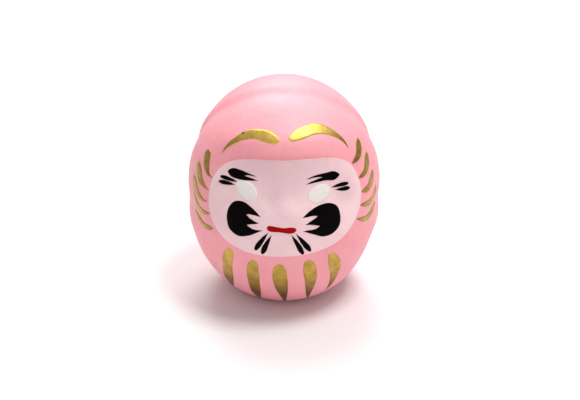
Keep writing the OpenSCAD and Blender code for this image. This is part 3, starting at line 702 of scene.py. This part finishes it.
def smooth_line(points, t):
    """A smooth curve through places: between two of them a cubic, whose slope at each place is the mean
    of the slopes on both sides of it, the nearer neighbour counting more."""
    p = np.array(points, float)
    knots = knots_of(p)
    gaps = np.diff(knots)[:, None]
    slopes = np.diff(p, axis=0) / gaps
    between = (slopes[:-1] * gaps[1:] + slopes[1:] * gaps[:-1]) / (gaps[1:] + gaps[:-1])
    tangents = np.concatenate([slopes[:1], between, slopes[-1:]])
    i = np.clip(np.searchsorted(knots, t, side="right") - 1, 0, len(p) - 2)
    gap = gaps[i]
    u = (t[:, None] - knots[i][:, None]) / gap
    start = (1 + 2 * u) * (1 - u) ** 2 * p[i] + u * (1 - u) ** 2 * gap * tangents[i]
    return start + u**2 * (3 - 2 * u) * p[i + 1] + u**2 * (u - 1) * gap * tangents[i + 1]


def broken_line(points, t):
    """The straight stretches between places."""
    p = np.array(points, float)
    return np.stack([np.interp(t, knots_of(p), column) for column in p.T], axis=-1)


def stations(count):
    """Steps from 0 to 1 that are closest together at both ends."""
    return (1 - cosine(np.arange(count + 1) * 180 / count)) / 2


def blot(left, right):
    """A closed domed layer of paint between two edges that meet at both ends: straight rows from edge
    to edge, whose thickness is one minus a power of the way from the middle, rooted, and less where the
    mark is narrow. Returns its points, its faces and two notes: the way along and across the stroke,
    and how near its tail."""
    rows, columns = len(left), MARK_ACROSS + 1
    across = np.linspace(0, 1, columns)
    places = left[:, None, :] + (right - left)[:, None, :] * across[None, :, None]
    turn, rise = places[..., 0], places[..., 1]
    span = np.linalg.norm((right - left) * [cosine(left[:, 1].mean()), 1], axis=1)
    fullness = np.sqrt(np.clip(span / (FULL_WIDTH * span.max()), 0, 1))[:, None]
    dome = np.sqrt(np.clip(1 - np.abs(2 * across - 1) ** DOME_POWER, 0, 1))[None, :]
    base = ground(turn, rise)
    top = skin(turn, rise, base + MARK_PAINT * (RIM_SHARE + (1 - RIM_SHARE) * dome * fullness))
    under = skin(turn, rise, base - SUNK)
    middle = top[:, MARK_ACROSS // 2]
    along = np.concatenate([[0], np.cumsum(np.linalg.norm(np.diff(middle, axis=0), axis=1))])
    width = np.linalg.norm(top[:, -1] - top[:, 0], axis=1)
    along = np.broadcast_to(along[:, None], turn.shape)
    stroke = np.stack([along, (across - 0.5) * width[:, None], 0 * turn], axis=-1)
    tail = (along / along.max())[..., None]

    def closed(values):
        """One layer's values, with one point in place of its first row and one in place of its last."""
        inner = values[1:-1].reshape(-1, values.shape[-1])
        return np.concatenate([values[0, :1], inner, values[-1, :1]])

    points = np.concatenate([closed(top), closed(under)])
    layer = len(points) // 2
    j = np.arange(MARK_ACROSS)
    last = 1 + (rows - 3) * columns
    sheet = [
        quads(rows - 2, columns, False, 1),
        np.stack([0 * j, j + 2, j + 1], axis=-1),
        np.stack([last + j, last + j + 1, 0 * j + layer - 1], axis=-1),
    ]
    faces = [*sheet, *[face[:, ::-1] + layer for face in sheet]]
    inner_rows = np.arange(rows - 2) * columns
    for first_column, way in ((1, -1), (columns, 1)):
        rim = np.concatenate([[0], first_column + inner_rows, [layer - 1]])
        faces.append(np.stack([rim[:-1], rim[:-1] + layer, rim[1:] + layer, rim[1:]], axis=-1)[:, ::way])
    steps = np.diff(left, axis=0)
    widths = (right - left)[:-1]
    if (widths[:, 0] * steps[:, 1] - widths[:, 1] * steps[:, 0]).sum() < 0:
        faces = [face[:, ::-1] for face in faces]
    notes = {"stroke": np.tile(closed(stroke), (2, 1)), "tail": np.tile(closed(tail), (2, 1))[:, 0]}
    return points, faces, notes


def add_mark(name, blots, material):
    """Makes one piece of one or more blots of paint; it stands for the node of the same name."""
    firsts = np.cumsum([0] + [len(points) for points, _, _ in blots])
    points = np.concatenate([points for points, _, _ in blots])
    faces = [face + first for first, (_, group, _) in zip(firsts, blots) for face in group]
    notes = {note: np.concatenate([own[note] for _, _, own in blots]) for note in blots[0][2]}
    add_piece(name + "_paint", points, faces, material, [name], notes)


# Rows along a stroke and along a shape, and the short step along a spine that its direction is taken over
STROKE_ROWS, SHAPE_ROWS, SHORT_STEP = 48, 44, 0.004
# The power that rounds a stroke's head; the half waves along its edges, their heights and strength
ROUND_HEAD = 0.5
EDGE_WAVES, EDGE_HEIGHTS, RAGGED = (2, 5, 9), (1, 0.6, 0.4), 0.05


def brush_mark(spine, width, tail, seed):
    """A stroke along a Bezier spine: its half width is a power of the way from each end, a half power
    that rounds the head and 1 or more that points the tail, and a few seeded waves leave its edges
    hand-drawn."""
    t = stations(STROKE_ROWS)
    place = bezier(spine, t)
    ahead = bezier(spine, np.minimum(t + SHORT_STEP, 1)) - bezier(spine, np.maximum(t - SHORT_STEP, 0))
    squeeze = cosine(place[:, 1])
    along = np.stack([ahead[:, 0] * squeeze, ahead[:, 1]], axis=-1)
    along /= np.linalg.norm(along, axis=1)[:, None]
    peak = ROUND_HEAD / (ROUND_HEAD + tail)
    full = (t / peak) ** ROUND_HEAD * ((1 - t) / (1 - peak)) ** tail
    half = np.degrees(width / 2 * full / reach(place[:, 1]))
    across = np.stack([along[:, 1] / squeeze, -along[:, 0]], axis=-1)
    chance = np.random.default_rng(seed)
    edges = []
    for side in (-1, 1):
        phases = chance.uniform(0, 360, len(EDGE_WAVES))
        ripple = (sine(np.array(EDGE_WAVES) * 180 * t[:, None] + phases) * EDGE_HEIGHTS).sum(axis=1)
        edges.append(place + across * (side * half * (1 + RAGGED * ripple))[:, None])
    return blot(*edges)


def pronged_mark(back, front, count):
    """A blot with a smooth back and a front that runs in and out in prongs; both share their ends."""
    t = np.linspace(0, 1, count + 1)
    return blot(smooth_line(back, t), broken_line(front, t))


def shaped_mark(left, right):
    """A stroke whose two smooth edges meet at its head and at its tail."""
    t = stations(SHAPE_ROWS)
    return blot(smooth_line(left, t), smooth_line(right, t))


# Places (turn, rise) along the two edges of each mark, which share their ends, or along a stroke's spine
EYES = {
    "eye_white_left": (
        ((-30.8, 20.8), (-29.4, 22.5), (-24.2, 23.6), (-18.6, 21.4), (-16.1, 17), (-16.4, 14.2)),
        ((-30.8, 20.8), (-29.6, 17.8), (-24.6, 13.2), (-20, 12.4), (-16.4, 14.2)),
    ),
    "eye_white_right": (
        ((28.2, 19.2), (26.4, 21), (23.2, 21.7), (16.8, 19.6), (14.5, 16.8), (14.5, 13.8)),
        ((28.2, 19.2), (27.8, 16.4), (22.4, 11.8), (18.6, 11.1), (14.5, 13.8)),
    ),
}
EYEBROWS = {
    "eyebrow_left": (
        ((-17.5, 26.8), (-23, 27.9), (-29.5, 28.9), (-35.5, 28.6), (-38, 26.4), (-35.5, 24.4), (-30, 23.6),
         (-22, 24), (-16.4, 24.6)),
        ((-17.5, 26.8), (-19.5, 26.8), (-23, 26.9), (-26, 26.2), (-22.5, 25.8), (-20, 25.4), (-16.4, 24.6)),
    ),
    "eyebrow_right": (
        ((14, 25.6), (20, 27.1), (27, 27.5), (34.4, 26.9), (36.9, 24.8), (33.3, 22.7), (26.2, 23.4),
         (19.4, 23.1), (13.6, 22.6)),
        ((14, 25.6), (16, 25.6), (18.6, 26), (22, 26), (25, 25.4), (22.6, 25.2), (19.8, 24.6), (16.4, 23.8),
         (13.6, 22.6)),
    ),
}
BEARDS = {
    "beard_left": (
        ((-13, 4.2), (-18, 8.6), (-24.5, 11.7), (-29.4, 10.8), (-33.2, 6), (-34, -0.5), (-32, -6.3),
         (-26.8, -9.2), (-20.4, -8), (-14.6, -5), (-11.8, -3.6)),
        ((-13, 4.2), (-16.5, 4.8), (-19.5, 5), (-21.8, 4.6), (-19.4, 2.6), (-16.4, 1.2), (-14, 0.4),
         (-16.4, -0.4), (-19.2, -0.6), (-21.8, -0.6), (-20.4, -2.2), (-18, -3.4), (-15.2, -3.8),
         (-11.8, -3.6)),
    ),
    "beard_right": (
        ((10.2, 4), (14.8, 7.6), (21, 10.2), (27.4, 10.2), (31.2, 8), (33.4, 2.2), (32.4, -5), (28, -8.3),
         (22.4, -8.8), (16.4, -6.4), (10.6, -4)),
        ((10.2, 4), (13, 4.2), (16.4, 4.6), (19.4, 4), (17, 2.6), (14.6, 1.4), (11.8, -0.2), (14, -0.4),
         (17.6, -1), (21, -1.6), (18.6, -3), (16.4, -3.6), (13.4, -3.6), (10.6, -4)),
    ),
}
TEMPLES = {
    "temple_marks_left": (
        ((-42.6, 22.2), (-36, 22.6), (-29.6, 21.9)),
        ((-43, 19.2), (-36, 20), (-31, 20)),
    ),
    "temple_marks_right": (
        ((41.8, 18.4), (36, 19.2), (29.2, 18.8)),
        ((42.2, 15.6), (37, 16.2), (31.6, 17)),
    ),
}
CHINS = {
    "chin_marks_left": (
        ((-16.4, -16.4), (-13, -10), (-8.6, -4.6)),
        ((-12.6, -18.4), (-10, -12), (-6.8, -5.8)),
    ),
    "chin_marks_right": (
        ((10.9, -18.4), (7.8, -12), (4, -5.6)),
        ((15.1, -17), (11, -10.6), (6.4, -5)),
    ),
}
# Widths of the strokes, the powers that point their tails, and the seed of their waves
TEMPLE_WIDTH, TEMPLE_TAIL = 1.6 * MM, 1.0
CHIN_WIDTH, CHIN_TAIL = 2 * MM, 1.1
STROKE_SEED = 20
# Rows along the pronged marks
EYEBROW_ROWS, BEARD_ROWS = 80, 120
MOUTH = (
    ((-9.6, -2.2), (-9, -0.8), (-6.6, -0.6), (-3.4, -1.1), (0, -1.5), (3.8, -1.2), (6, -1.6), (7, -2.8)),
    ((-9.6, -2.2), (-8.8, -3.4), (-7.2, -4), (-3.8, -4), (0, -4.5), (3.4, -4.9), (5.6, -4.4), (7, -2.8)),
)
GOLD_BROWS = {
    "gold_brow_left": (
        ((-3, 46.5), (-5.5, 48.5), (-10.5, 50.8), (-18, 51.5), (-31.5, 49.4), (-39, 44), (-44, 38.4),
         (-46, 34)),
        ((-3, 46.5), (-4.2, 45), (-6.5, 44), (-11, 44.4), (-22.5, 45.8), (-34.5, 42.6), (-42.5, 37.6),
         (-46, 34)),
    ),
    "gold_brow_right": (
        ((3, 47.2), (5.5, 49.5), (17, 53.5), (31.5, 53.5), (41.5, 48.2), (47.5, 41), (49, 36)),
        ((3, 47.2), (4.5, 46), (11.5, 46), (22.5, 48), (35.5, 46.3), (45.5, 40.4), (49, 36)),
    ),
}
FOLDS = {
    "sleeve_fold_left": (
        (
            ((-58.5, 33.2), (-60.8, 31), (-58.8, 24.8), (-53, 19.6), (-48.6, 19.4)),
            ((-58.5, 33.2), (-55.6, 32.4), (-53.6, 26.6), (-51, 20.6), (-48.6, 19.4)),
        ),
        (
            ((-64.6, 24.2), (-65.4, 21.2), (-62.4, 14.4), (-53, 11.6), (-49, 11.6)),
            ((-64.6, 24.2), (-61.6, 23), (-56.6, 16.8), (-51.4, 12.6), (-49, 11.6)),
        ),
        (
            ((-67.6, 14.8), (-68.8, 11.8), (-64.2, 6.2), (-54, 3.4), (-49.4, 4.8)),
            ((-67.6, 14.8), (-64.6, 13.8), (-59, 8.4), (-52.6, 4.8), (-49.4, 4.8)),
        ),
        (
            ((-66.2, 4.4), (-65.2, 1.4), (-60.6, -4.4), (-50, -3.4), (-46.4, -1.6)),
            ((-66.2, 4.4), (-63.6, 3.4), (-57.8, -0.8), (-50, -1.8), (-46.4, -1.6)),
        ),
        (
            ((-65.2, -6), (-62.8, -8.6), (-55.2, -13), (-48, -12.8), (-44.6, -10.4)),
            ((-65.2, -6), (-60.6, -7.2), (-53.8, -9.8), (-46.8, -9.8), (-44.6, -10.4)),
        ),
    ),
    "sleeve_fold_right": (
        (
            ((62, 39), (58.4, 38), (53.8, 32.4), (49.2, 28.6), (48.4, 27.6)),
            ((62, 39), (63, 36.4), (59.2, 30.4), (51.8, 27.4), (48.4, 27.6)),
        ),
        (
            ((66, 29.6), (62.2, 28.4), (57.2, 22.4), (52, 19.4), (50.6, 18.4)),
            ((66, 29.6), (66.2, 26.8), (62, 20.4), (54.2, 17.6), (50.6, 18.4)),
        ),
        (
            ((67.6, 18), (63.8, 17), (58, 12.4), (52.4, 10.8), (51, 10)),
            ((67.6, 18), (67.8, 15.2), (62.8, 9.6), (56, 8), (51, 10)),
        ),
        (
            ((68.8, 8), (66, 6.2), (60, 3), (52, 3), (48.8, 2.6)),
            ((68.8, 8), (69.6, 4.8), (64, -0.4), (55.6, -0.6), (48.8, 2.6)),
        ),
        (
            ((68.4, -2.6), (65.2, -3.4), (56.8, -6.2), (48.8, -5), (45.6, -4.4)),
            ((68.4, -2.6), (69.6, -5.6), (61.8, -9.8), (51.4, -8.6), (45.6, -4.4)),
        ),
    ),
}
STRIPES = (
    (((-33.8, -19.2), (-37.2, -21.8), (-40.6, -27.2), (-42.6, -34), (-47.8, -44), (-50.4, -56.8)),
     ((-33.8, -19.2), (-31.6, -20.8), (-32.4, -26.5), (-34.6, -33.6), (-38, -43.5), (-50.4, -56.8))),
    (((-18.6, -23.4), (-21.6, -25.8), (-23.6, -31.5), (-25, -41.8), (-26.4, -53), (-25.2, -63.8)),
     ((-18.6, -23.4), (-16.2, -25), (-15.7, -31), (-16.6, -41), (-18.6, -51.5), (-25.2, -63.8))),
    (((-2.4, -24.6), (-5.4, -26.4), (-7.1, -32), (-6.4, -42), (-3, -52.5), (1.2, -65.6)),
     ((-2.4, -24.6), (0.2, -26.8), (2, -35), (2.7, -44), (2.4, -53), (1.2, -65.6))),
    (((14.4, -23), (12.4, -24.2), (11.7, -29), (13.8, -38.6), (17.6, -51.6), (25.6, -63.8)),
     ((14.4, -23), (17.6, -25), (20.9, -33), (21.9, -43), (22, -53), (25.6, -63.8))),
    (((29.4, -21), (27, -21.8), (27.2, -25.6), (31.4, -37), (35, -47.2), (37, -53.8)),
     ((29.4, -21), (33.2, -24), (38.4, -31.5), (39.2, -39), (38.8, -48), (37, -53.8))),
)


def paint_the_face():
    """The eyes, eyebrows, temple marks, beard, chin marks and mouth."""
    white = brushed_paint("eye_white_paint", *EYE_WHITE, rough=0.5, gloss=0.3, depth=0.01 * MM)
    black = brushed_paint("black_paint", *BLACK, rough=0.6, gloss=0.03, depth=0.05 * MM)
    red = brushed_paint("red_paint", *RED, rough=0.5, gloss=0.05, depth=0.05 * MM)
    for name, edges in EYES.items():
        add_mark(name, [shaped_mark(*edges)], white)
    for group, rows in ((EYEBROWS, EYEBROW_ROWS), (BEARDS, BEARD_ROWS)):
        for name, (back, front) in group.items():
            add_mark(name, [pronged_mark(back, front, rows)], black)
    for group, width, tail in ((TEMPLES, TEMPLE_WIDTH, TEMPLE_TAIL), (CHINS, CHIN_WIDTH, CHIN_TAIL)):
        for name, spines in group.items():
            blots = [brush_mark(spine, width, tail, STROKE_SEED + k) for k, spine in enumerate(spines)]
            add_mark(name, blots, black)
    add_mark("mouth", [shaped_mark(*MOUTH)], red)


def paint_the_robe():
    """The gold brows, the folds of the sleeves and the stripes under the chin."""
    # Three copies of one gold, painted light: lit for the brows, half lit for the stripes, shaded for the
    # folds
    full = gold_paint("gold_lit", *GOLD_LIT)
    half_lit_gold = gold_paint("gold_half_lit", *GOLD_HALF_LIT)
    thin_edge_and_shaded_gold = gold_paint("gold_shaded", *GOLD_SHADED)
    for name, edges in GOLD_BROWS.items():
        add_mark(name, [shaped_mark(*edges)], full)
    for side, folds in FOLDS.items():
        for k, edges in enumerate(folds):
            add_mark(f"{side}_{k + 1}", [shaped_mark(*edges)], thin_edge_and_shaded_gold)
    for k, edges in enumerate(STRIPES):
        add_mark(f"belly_stripe_{k + 1}", [shaped_mark(*edges)], half_lit_gold)


def finish_the_inside():
    """Materials for the paper shells, the strip over their seam, the clay weight and its glue."""
    finishes = {
        "shell_front": pulp_paper("pulp_front", *PULP_FRONT),
        "shell_back": pulp_paper("pulp_back", *PULP_BACK),
        "seam_strip": pulp_paper("strip_paper", *STRIP_PAPER),
        "base_weight": clay_brown(),
        "weight_glue": set_glue(),
    }
    for name, material in finishes.items():
        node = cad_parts[name]
        node.data.materials.clear()
        node.data.materials.append(material)


# ---------------------------------------------------------------- floor, light and camera

FLOOR_SIZE, FLOOR_LINES = 6.0, 9
FLOOR_COLOUR = (0.82, 0.78, 0.787, 1)
FLOOR_ROUGHNESS, FLOOR_GLOSS = 0.9, 0.1


def floor():
    """A plain pale floor that the doll stands on."""
    steps = np.linspace(-FLOOR_SIZE / 2, FLOOR_SIZE / 2, FLOOR_LINES)
    x, y = np.meshgrid(steps, steps)
    points = np.stack([x, y, np.zeros_like(x)], axis=-1).reshape(-1, 3)
    mesh = bpy.data.meshes.new("floor")
    mesh.from_pydata(points.tolist(), [], quads(FLOOR_LINES, FLOOR_LINES, False).tolist())
    material, _, shader = new_material("pale_floor")
    shader.inputs["Base Color"].default_value = FLOOR_COLOUR
    shader.inputs["Roughness"].default_value = FLOOR_ROUGHNESS
    shader.inputs["Specular IOR Level"].default_value = FLOOR_GLOSS
    mesh.materials.append(material)
    made = bpy.data.objects.new("floor", mesh)
    bpy.context.scene.collection.objects.link(made)


def soft_box(name, place, size, power):
    """A square soft light at a place, facing the doll."""
    light = bpy.data.lights.new(name, "AREA")
    light.shape = "SQUARE"
    light.size = size
    light.energy = power
    made = bpy.data.objects.new(name, light)
    made.location = place
    made.rotation_mode = "QUATERNION"
    made.rotation_quaternion = (Vector(LIGHT_AIM) - Vector(place)).to_track_quat("-Z", "Y")
    bpy.context.scene.collection.objects.link(made)


# The room's brightness level with the floor and overhead, and the height from which overhead counts
WALL_LIGHT, CEILING_LIGHT, CEILING_FROM = 0.24, 0.64, 0.9
# Soft lights: place and size in metres, and power in watts
LIGHTS = {
    "overhead": ((0.22, -0.1, 0.76), 0.25, 3.8),
    "behind": ((-0.05, 0.4, 0.64), 0.42, 4.1),
    "front": ((0.1, -0.75, 0.2), 0.6, 0.8),
}
LIGHT_AIM = (0, 0, 30 * MM)


def studio():
    """A white room with a brighter ceiling, a soft light overhead on the right, a broader one behind,
    and a weak one in front."""
    world = bpy.data.worlds.new("white_room")
    world.use_nodes = True
    tree = world.node_tree
    backdrop = tree.nodes["Background"]
    backdrop.inputs["Color"].default_value = (1.0, 1.0, 1.0, 1)
    direction = add_node(tree, "ShaderNodeTexCoord").outputs["Generated"]
    height = add_node(tree, "ShaderNodeSeparateXYZ", Vector=direction).outputs["Z"]
    strength = ramped(tree, height, 0, CEILING_FROM, start=WALL_LIGHT, end=CEILING_LIGHT)
    tree.links.new(strength, backdrop.inputs["Strength"])
    bpy.context.scene.world = world
    for name, (place, size, power) in LIGHTS.items():
        soft_box(name, place, size, power)
    bpy.context.scene.view_settings.view_transform = "Standard"


# The point that the camera turns to, its elevation and distance, its lens in millimetres, its shift, and
# the nearest that it sees
AIM = Vector((0, 0, 45 * MM))
VIEW_ELEVATION = 25
VIEW_DISTANCE = 500 * MM
VIEW_LENS = 76.9
VIEW_SHIFT = (0.0103, -0.0276)
VIEW_NEAREST = 10 * MM


def camera():
    """A camera in front of the doll that looks down at it."""
    data = bpy.data.cameras.new("camera")
    data.lens = VIEW_LENS
    data.shift_x, data.shift_y = VIEW_SHIFT
    data.clip_start = VIEW_NEAREST
    made = bpy.data.objects.new("camera", data)
    back = Vector((0, -cosine(VIEW_ELEVATION), sine(VIEW_ELEVATION)))
    made.location = AIM + back * VIEW_DISTANCE
    made.rotation_euler = (np.radians(90 - VIEW_ELEVATION), 0, 0)
    bpy.context.scene.collection.objects.link(made)
    bpy.context.scene.camera = made


robe()
face()
paint_the_face()
paint_the_robe()
finish_the_inside()
floor()
studio()
camera()
